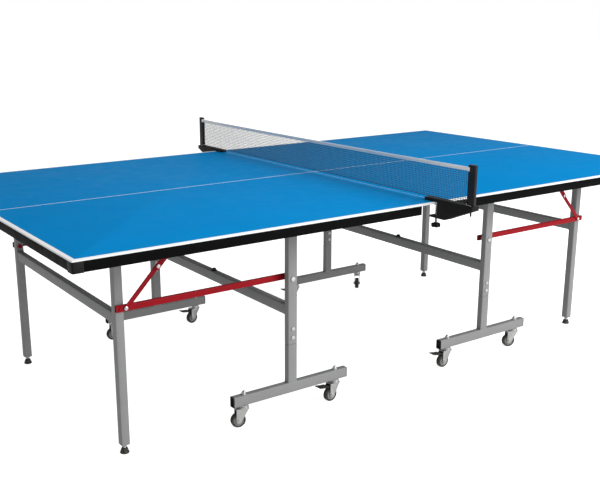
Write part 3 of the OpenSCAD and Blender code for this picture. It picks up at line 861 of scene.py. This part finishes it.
def make_trolley_frame():
    """The two upper sleeves and their crossbar."""
    half = UPRIGHT_L / 2
    bar = 0.015
    lip = 0.0018
    bar_low, bar_high = TROLLEY_BAR
    high = (fold_x + half, sleeve_high.y, sleeve_high.z)
    sleeve = tube("sleeve", (fold_x - half, sleeve_in, sleeve_low.z), high, Z, 0.003, (-1,), 0.09)
    bead = weld("bar weld", (fold_x - bar - lip, sleeve_in - 0.0022, bar_low - lip),
                (fold_x + bar + lip, sleeve_in + 0.0005, bar_high + lip), Y, -1)
    sleeves = both_sides(joined("sleeves", [sleeve, bead]))
    high = (fold_x + bar, sleeve_in, bar_high)
    crossbar = tube("trolley bar", (fold_x - bar, -sleeve_in, bar_low), high, Y, 0.0035)
    frame_piece = joined("trolley frame", [sleeves, crossbar])
    for_each_half(frame_piece, "uprights", "trolley", "silver_paint", SILVER_COAT, "trolley_frame")


def make_bases():
    """The lower posts, each welded to its base bar, with the tongue that slides in the sleeve."""
    half = UPRIGHT_L / 2
    flank = TONGUE_L / 2
    tongue_in = upright_y - TONGUE_W / 2
    tongue_out = upright_y + TONGUE_W / 2
    post_top = sleeve_low.z - JOINT_GAP
    lip = 0.0018
    high = (fold_x + half, sleeve_high.y, post_top)
    post = tube("post", (fold_x - half, sleeve_in, base_top), high, Z, 0.003, (1,), 0.004)
    tongue_low = (fold_x - flank, tongue_in, post_top - 0.006)
    tongue = tube("tongue", tongue_low, (fold_x + flank, tongue_out, base_high.z), Z, 0.0025, (1,), 0.02)
    high = (base_high.x, sleeve_high.y, base_top)
    base = tube("base bar", (base_low.x, sleeve_in, base_low.z), high, X, 0.003, (-1, 1), 0.03)
    bead = weld("post weld", (fold_x - half - lip, sleeve_in + 0.001, base_top - 0.0005),
                (fold_x + half + lip, sleeve_high.y - 0.001, base_top + 0.0024), Z, 1)
    bases = both_sides(joined("base", [post, tongue, base, bead]))
    for_each_half(bases, "bases", "trolley", "silver_paint", SILVER_COAT, "base_tees")
    high = (base_high.x + 0.003, sleeve_high.y, base_top)
    cap = block("cap", (base_high.x, sleeve_in, base_low.z), high)
    round_edges(cap, X, 0.003)
    edit(cap)
    pick_faces(lambda middle, normal: normal.x < -0.99)
    bpy.ops.mesh.inset(thickness=WALL + 0.0002, depth=0)
    bpy.ops.mesh.extrude_region_move(TRANSFORM_OT_translate={"value": (-0.012, 0, 0)})
    done()
    sink_face(cap, X, 1, 0.0036, 0.009)
    break_edges(cap, 0.0006)
    other = twin(cap, "inner cap", flip_x=True)
    other.data.transform(Matrix.Translation((2 * fold_x, 0, 0)))
    caps = both_sides(joined("caps", [cap, other]))
    for_each_half(caps, "end_caps", "trolley", "black_plastic", BLACK_PLASTIC, "base_caps")


# ---------- casters ----------


def make_wheels():
    """Rubber tyres on dished grey hubs."""
    tyre_outline = [(0.0182, -0.006), (0.0184, -0.0093), (0.0222, -0.0098), (0.0243, -0.0094)]
    tyre_outline += [(0.0259, -0.0080), (0.0268, -0.0058), (0.0270, -0.0030)]
    tyre_outline += [(radius, -height) for radius, height in reversed(tyre_outline)]
    hub_outline = [(0.0085, -0.0115), (0.0090, -0.0110), (0.0095, -0.0072)]
    hub_outline += [(0.0151, -0.0066), (0.0164, -0.0086), (0.0181, -0.0088)]
    hub_outline += [(radius, -height) for radius, height in reversed(hub_outline)]
    tyre = turned("tyre", tyre_outline, 40)
    hub = turned("hub", hub_outline, 40)
    wheel_parts = ((tyre, "tyre", "tyre", TYRE), (hub, "hub", "wheel_hub", HUB_GREY))
    for half in HALVES:
        for side in SIDES:
            for reach in REACHES:
                caster = f"{half}_{side}_{reach}"
                centre = joint_place(f"{caster}_roll")
                axle = Vector(JOINTS[f"{caster}_roll"]["axis"])
                turn = Vector((0, 0, 1)).rotation_difference(axle).to_matrix().to_4x4()
                for master, part, slot, finish in wheel_parts:
                    piece = twin(master, f"{caster}_{part}")
                    piece.data.transform(Matrix.Translation(centre) @ turn)
                    nodes = [f"{caster}_wheel"] if part == "tyre" else []
                    hand_over(piece, f"{caster}_wheel", slot, finish, *nodes)
    bpy.data.objects.remove(tyre)
    bpy.data.objects.remove(hub)


# ---------- net ----------


def make_posts():
    """Net posts: a rounded bar with a slot for the net's edge, and its pin below."""
    bar = block("post", post_low + Vector((0, 0, PIN_H)), post_high)
    round_edges(bar, Z, 0.0032, 4)
    sink_face(bar, Y, -1, 0.0042, 0.010)
    break_edges(bar, 0.0012, 3)
    middle = (post_low + post_high) / 2
    pin_outline = [(0.0025, post_low.z), (0.003, post_low.z + 0.001), (0.003, post_low.z + PIN_H + 0.002)]
    pin = turned("pin", pin_outline, 20)
    pin.data.transform(Matrix.Translation((middle.x, middle.y, 0)))
    post = joined("back_post", [bar, pin])
    front = twin(post, "front_post", flip_y=True)
    hand_over(post, "near_top", "post_black", POST_BLACK, "back_net_post")
    hand_over(front, "near_top", "post_black", POST_BLACK, "front_net_post")


def make_clamp_screws():
    """Clamp screws: a threaded bolt with a pad, turned by a lobed knob."""
    low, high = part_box("back_clamp_screw")
    middle = (low + high) / 2
    bolt_outline = [(0.0036, low.z + 0.006)] + thread(0.004, 0.0005, 0.0015, low.z + 0.008, high.z - 0.0068)
    bolt_outline += [(0.0042, high.z - 0.0066), (0.0092, high.z - 0.0062), (0.010, high.z - 0.0054)]
    bolt_outline += [(0.010, high.z - 0.001), (0.0092, high.z)]
    bolt = turned("bolt", bolt_outline, 24)
    core_outline = [(0.0105, low.z), (0.0122, low.z + 0.0012), (0.0122, low.z + 0.0128)]
    core_outline += [(0.0108, low.z + 0.0142), (0.0072, low.z + 0.0146), (0.0066, low.z + 0.0168)]
    core = turned("knob", core_outline, 32)
    lobe_outline = [(0.0035, low.z + 0.0004), (0.0046, low.z + 0.0014)]
    lobe_outline += [(0.0046, low.z + 0.0126), (0.0035, low.z + 0.0136)]
    lobes = [core]
    for turn in range(6):
        angle = turn * math.tau / 6
        lobe = turned("lobe", lobe_outline, 16)
        lobe.data.transform(Matrix.Translation((0.012 * math.cos(angle), 0.012 * math.sin(angle), 0)))
        lobes.append(lobe)
    knob = joined("knob", lobes)
    place = Matrix.Translation((middle.x, middle.y, 0))
    bolt.data.transform(place)
    knob.data.transform(place)
    finishes = ((bolt, "clamp_bolt", "zinc", ZINC), (knob, "clamp_knob", "black_plastic", BLACK_PLASTIC))
    for master, part, slot, finish in finishes:
        front = twin(master, f"front_{part}", flip_y=True)
        master.name = f"back_{part}"
        for side, piece in (("front", front), ("back", master)):
            nodes = [f"{side}_clamp_screw"] if part == "clamp_bolt" else []
            hand_over(piece, f"{side}_clamp_screw", slot, finish, *nodes)


def hang(piece):
    """Lets the net's top sag a little between the posts, and its face swell a little."""
    reach = net_high.y
    for vert in piece.data.vertices:
        across = vert.co.y / reach
        up = (vert.co.z - net_low.z) / (net_high.z - net_low.z)
        vert.co.z -= NET_SAG * (1 - across * across) * max(0.0, up)
        vert.co.x += 0.0012 * math.sin(across * 9.0) * math.sin(max(0.0, up) * math.pi)


def make_net():
    """Knotted mesh with a taped top edge, corded lower edge and tie strings."""
    middle_x = (net_low.x + net_high.x) / 2
    reach = net_high.y
    tape_low = net_high.z - TAPE_H
    width = 2 * (reach - 0.002)
    height = tape_low + 0.004 - net_low.z
    columns = round(width / NET_CELL)
    rows = round(height / NET_CELL)
    bpy.ops.object.select_all(action="DESELECT")
    bpy.ops.mesh.primitive_grid_add(x_subdivisions=columns, y_subdivisions=rows, size=1)
    mesh = bpy.context.object
    mesh.data.transform(Matrix.Diagonal((width, height, 1, 1)))
    middle_z = net_low.z + height / 2
    mesh.data.transform(Matrix(((0, 0, 1, middle_x), (1, 0, 0, 0), (0, 1, 0, middle_z), (0, 0, 0, 1))))
    mesh.name = "net_mesh"
    hang(mesh)
    only(mesh)
    strands = mesh.modifiers.new("strands", "WIREFRAME")
    strands.thickness = YARN
    strands.use_even_offset = False
    bpy.ops.object.modifier_apply(modifier=strands.name)
    bpy.ops.object.shade_smooth()
    tape = block("tape", (middle_x - 0.0014, -reach, tape_low), (middle_x + 0.0014, reach, net_high.z))
    edit(tape)
    pick_edges(lambda middle, way: abs(way.y) > 0.99)
    bpy.ops.mesh.subdivide(number_cuts=60)
    done()
    round_edges(tape, Y, 0.0011, 2)
    hang(tape)
    pocket = tape_pocket(middle_x)
    tape = joined("net_tape", [tape, pocket, twin(pocket, "front_pocket", flip_y=True)])
    only(tape)
    bpy.ops.object.shade_smooth_by_angle(angle=math.radians(40))
    hem_cord = lower_cord(middle_x)
    strings = [tie_string(side, middle_x) for side in SIDES]
    hand_over(mesh, "near_top", "net_mesh", NET_YARN, "net")
    hand_over(tape, "near_top", "net_band", WOVEN_TAPE)
    hand_over(hem_cord, "near_top", "net_mesh", NET_YARN)
    for string in strings:
        hand_over(string, "near_top", "net_band", TIE_CORD)
    return mesh, tape, hem_cord, strings


def tape_pocket(middle_x):
    """The sewn pocket at the tape's end that is drawn over the inner edge of a post."""
    flank = (post_high.x - post_low.x) / 2 + 0.0009
    low = (middle_x - flank, net_high.y - 0.0015, net_high.z - TAPE_H)
    pocket = block("pocket", low, (middle_x + flank, post_low.y + 0.0085, net_high.z + 0.0003))
    round_edges(pocket, Z, 0.0024, 3)
    break_edges(pocket, 0.0005)
    return pocket


def drawn_cord(name, points, thickness):
    """A cord along points, as a mesh."""
    curve = bpy.data.curves.new(name, "CURVE")
    curve.dimensions = "3D"
    curve.bevel_depth = thickness / 2
    curve.bevel_resolution = 2
    curve.use_fill_caps = True
    spline = curve.splines.new("BEZIER")
    spline.bezier_points.add(len(points) - 1)
    for point, place in zip(spline.bezier_points, points):
        point.co = place
        point.handle_left_type = "AUTO"
        point.handle_right_type = "AUTO"
    curve.resolution_u = 6
    piece = bpy.data.objects.new(name, curve)
    bpy.context.scene.collection.objects.link(piece)
    only(piece)
    bpy.ops.object.convert(target="MESH")
    bpy.ops.object.shade_smooth()
    return bpy.context.object


def lower_cord(middle_x):
    """The cord in the net's lower edge."""
    reach = net_high.y - 0.002
    low = net_low.z + 0.0012
    points = [(middle_x, -reach, low), (middle_x, -reach / 2, low), (middle_x, 0, low)]
    points += [(middle_x, reach / 2, low), (middle_x, reach, low)]
    return drawn_cord("net_lower_cord", points, 0.0022)


def tie_string(side, middle_x):
    """The string that ties the net's lower corner round the foot of its post."""
    way = -1 if side == "front" else 1
    corner = net_high.y - 0.004
    clear = post_low.x - 0.0014
    bracket_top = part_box("back_net_bracket")[1].z
    foot_y = post_low.y
    points = [(middle_x, way * corner, net_low.z + 0.004)]
    points += [(middle_x - 0.004, way * (foot_y - 0.003), net_low.z + 0.001)]
    points += [(clear, way * (foot_y + 0.005), bracket_top + 0.0026)]
    points += [(clear, way * (foot_y + 0.018), bracket_top + 0.0016)]
    points += [(clear - 0.003, way * (foot_y + 0.026), bracket_top + 0.0011)]
    return drawn_cord(f"{side}_net_string", points, 0.0018)


# ---------- studio ----------


def area_light(name, place, towards, size, power):
    """A large soft lamp."""
    data = bpy.data.lights.new(name, "AREA")
    data.shape = "RECTANGLE"
    data.size, data.size_y = size
    data.energy = power
    lamp = bpy.data.objects.new(name, data)
    lamp.location = place
    lamp.rotation_euler = (Vector(towards) - Vector(place)).to_track_quat("-Z", "Y").to_euler()
    bpy.context.scene.collection.objects.link(lamp)


def set_studio():
    """A pale floor under a white sky, lit from the front and from above."""
    bpy.ops.object.select_all(action="DESELECT")
    bpy.ops.mesh.primitive_plane_add(size=80)
    floor = settle(bpy.context.object, "floor")
    material, tree, shader = start_material("pale floor", Roughness=0.8, Specular_IOR_Level=0.2,
                                            Emission_Strength=1.0)
    seen = put(tree, "ShaderNodeLightPath").outputs["Is Camera Ray"]
    tree.links.new(spread(tree, seen, 0.0, 1.0, 0.1, 0.85), shader.inputs["Emission Color"])
    clouds = noise(tree, object_place(tree), 1.5, 3.0)
    shade = mixed(tree, clouds, (0.80, 0.80, 0.80, 1), (0.82, 0.82, 0.82, 1))
    tree.links.new(shade, shader.inputs["Base Color"])
    floor.data.materials.append(material)
    world = bpy.data.worlds.new("sky")
    world.use_nodes = True
    tree = world.node_tree
    seen = put(tree, "ShaderNodeLightPath").outputs["Is Camera Ray"]
    sky = tree.nodes["Background"]
    sky.inputs["Color"].default_value = (1, 1, 1, 1)
    tree.links.new(spread(tree, seen, 0.0, 1.0, 0.4, 1.0), sky.inputs["Strength"])
    bpy.context.scene.world = world
    area_light("key", (2.6, -5.5, 3.4), (0, 0, 0.5), (4, 3), 340)
    area_light("top", (0.3, 0.2, 4.6), (0, 0, 0.7), (5, 3.5), 55)
    bpy.context.scene.view_settings.view_transform = "Standard"


set_camera()
make_boards()
make_rails()
make_hinge_plates()
make_frame_caps()
make_legs()
make_feet()
make_links()
make_refined_parts()
make_trolley_frame()
make_bases()
make_wheels()
make_posts()
make_clamp_screws()
net_mesh, net_tape, net_cord, net_strings = make_net()
set_studio()
